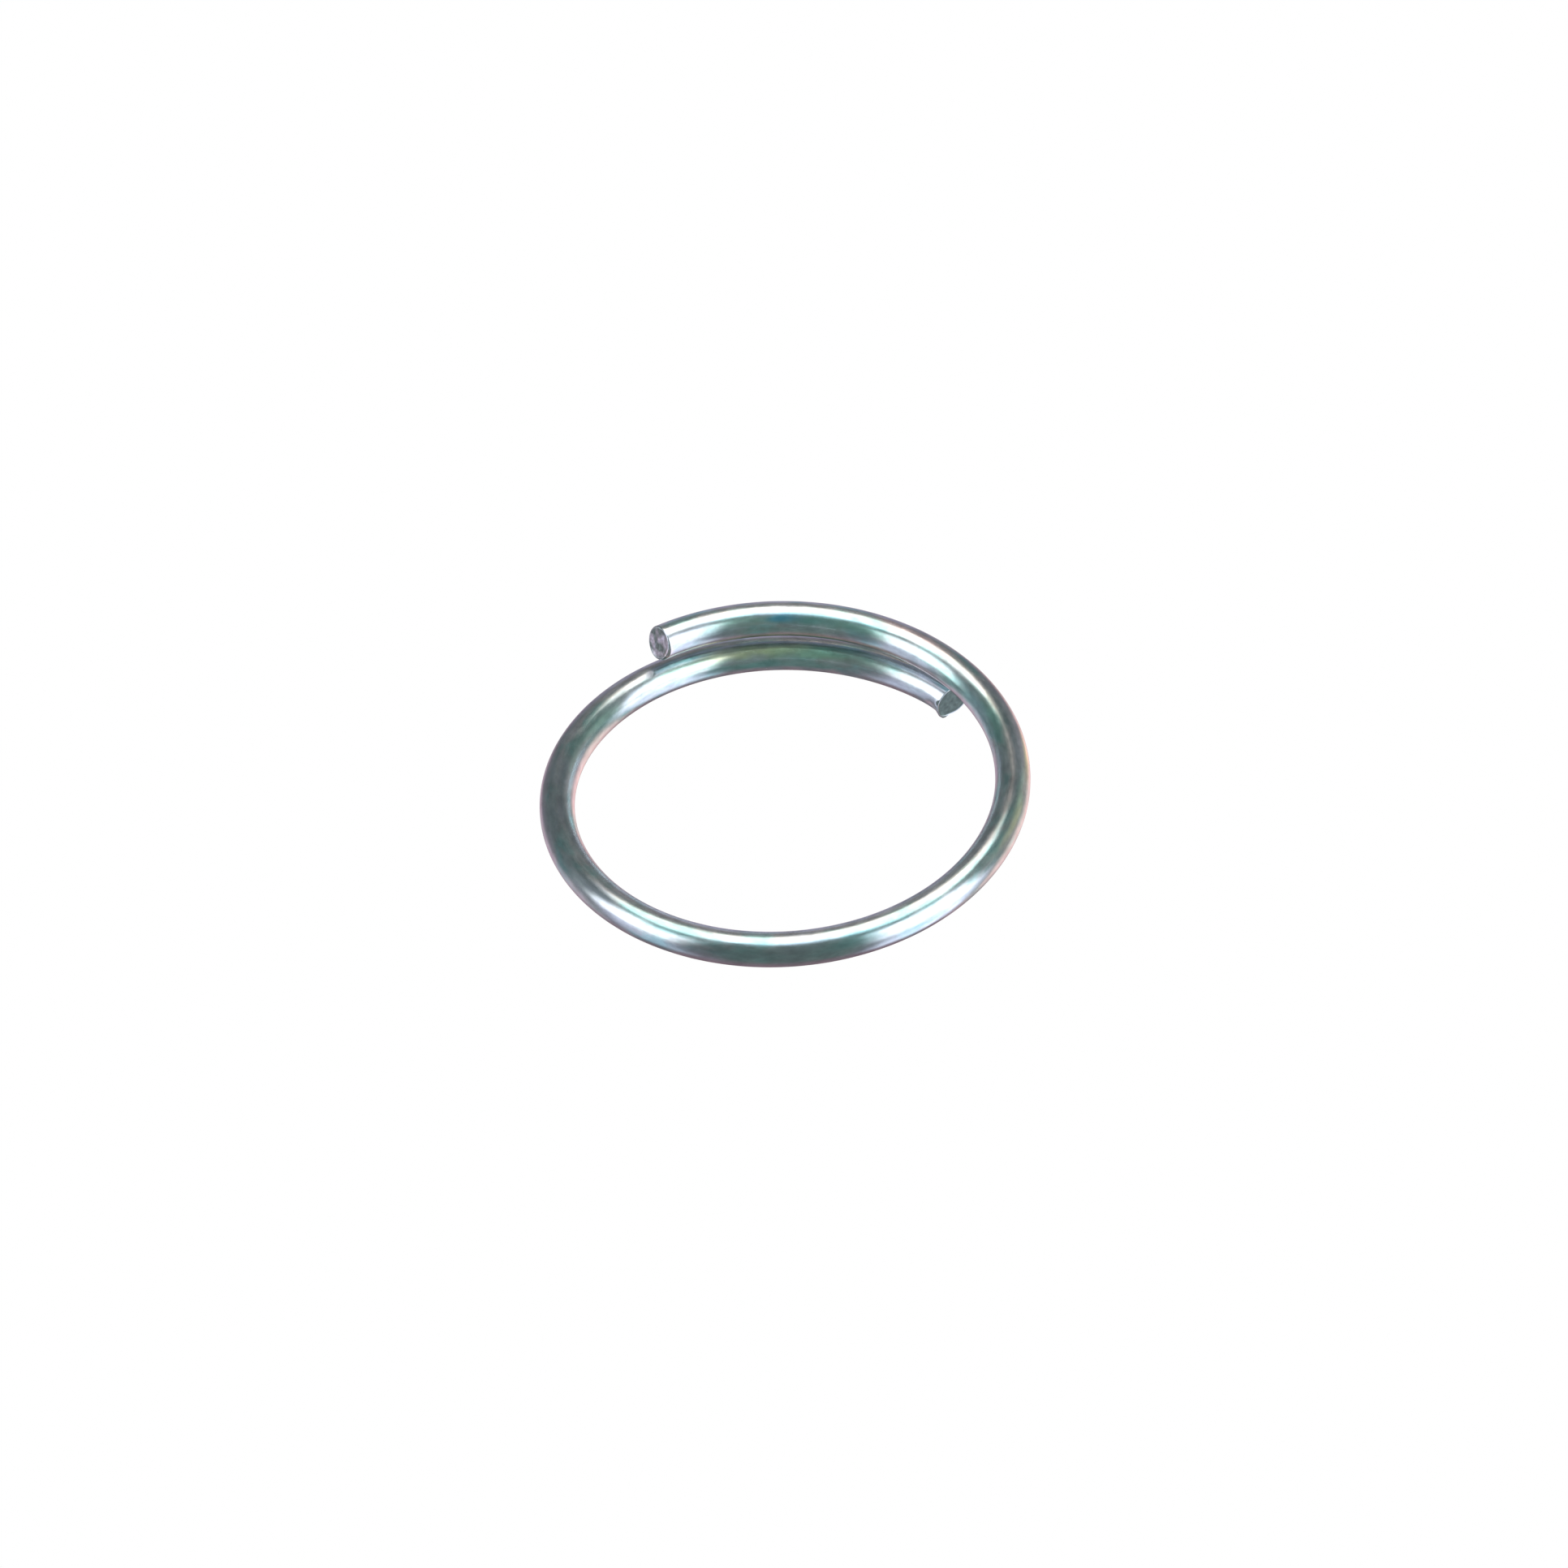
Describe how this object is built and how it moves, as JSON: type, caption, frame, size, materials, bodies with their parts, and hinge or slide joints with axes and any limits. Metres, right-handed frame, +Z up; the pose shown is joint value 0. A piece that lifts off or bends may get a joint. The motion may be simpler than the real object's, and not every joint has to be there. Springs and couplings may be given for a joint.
{
  "type": "round-wire key ring",
  "caption": "Springy round-wire ring whose sheared ends overlap in a short coil and are prised apart to thread keys on.",
  "frame": {"origin": "on the coil's axis, level with the lowest point of the lower turn, which is what the ring rests on", "axes": "+Z up along the coil's axis; -Y towards the single-wire front of the ring, +Y towards the overlap of its two ends; +X to the right"},
  "size_m": [0.025, 0.025, 0.0047],
  "materials": {
    "plated_wire": "bright zinc plate, blue-passivated, smooth"
  },
  "bodies": {
    "lower_end_coil": {"lower_end_coil": "plated_wire"},
    "left_rear_bow": {"left_rear_bow": "plated_wire"},
    "left_front_bow": {"left_front_bow": "plated_wire"},
    "front_left_bow": {"front_left_bow": "plated_wire"},
    "front_right_bow": {"front_right_bow": "plated_wire"},
    "right_front_bow": {"right_front_bow": "plated_wire"},
    "right_rear_bow": {"right_rear_bow": "plated_wire"},
    "upper_end_coil": {"upper_end_coil": "plated_wire"}
  },
  "joints": [
    {"name": "left_rear_twist", "type": "hinge", "parent": "lower_end_coil", "child": "left_rear_bow", "pos_m": [-0.01005, 0.0058, 0.00162], "axis": [-0.4997, -0.8656, 0.0329], "range_deg": [-0.094, 0.692], "stiffness_Nm_per_rad": 7.9},
    {"name": "left_twist", "type": "hinge", "parent": "left_rear_bow", "child": "left_front_bow", "pos_m": [-0.01142, -0.00201, 0.00189], "axis": [0.1736, -0.9843, 0.0329], "range_deg": [-0.2, 1.44], "stiffness_Nm_per_rad": 7.9},
    {"name": "left_front_twist", "type": "hinge", "parent": "left_front_bow", "child": "front_left_bow", "pos_m": [-0.00746, -0.00889, 0.00216], "axis": [0.7656, -0.6424, 0.0329], "range_deg": [-0.28, 2.04], "stiffness_Nm_per_rad": 7.9},
    {"name": "front_twist", "type": "hinge", "parent": "front_left_bow", "child": "front_right_bow", "pos_m": [0, -0.0116, 0.00242], "axis": [0.9995, 0, 0.0329], "range_deg": [-0.3, 2.19], "stiffness_Nm_per_rad": 7.9},
    {"name": "right_front_twist", "type": "hinge", "parent": "front_right_bow", "child": "right_front_bow", "pos_m": [0.00746, -0.00889, 0.00269], "axis": [0.7656, 0.6424, 0.0329], "range_deg": [-0.25, 1.83], "stiffness_Nm_per_rad": 7.9},
    {"name": "right_twist", "type": "hinge", "parent": "right_front_bow", "child": "right_rear_bow", "pos_m": [0.01142, -0.00201, 0.00296], "axis": [0.1736, 0.9843, 0.0329], "range_deg": [-0.15, 1.13], "stiffness_Nm_per_rad": 7.9},
    {"name": "right_rear_twist", "type": "hinge", "parent": "right_rear_bow", "child": "upper_end_coil", "pos_m": [0.01005, 0.0058, 0.00322], "axis": [-0.4997, 0.8656, 0.0329], "range_deg": [-0.057, 0.419], "stiffness_Nm_per_rad": 7.9}
  ]
}
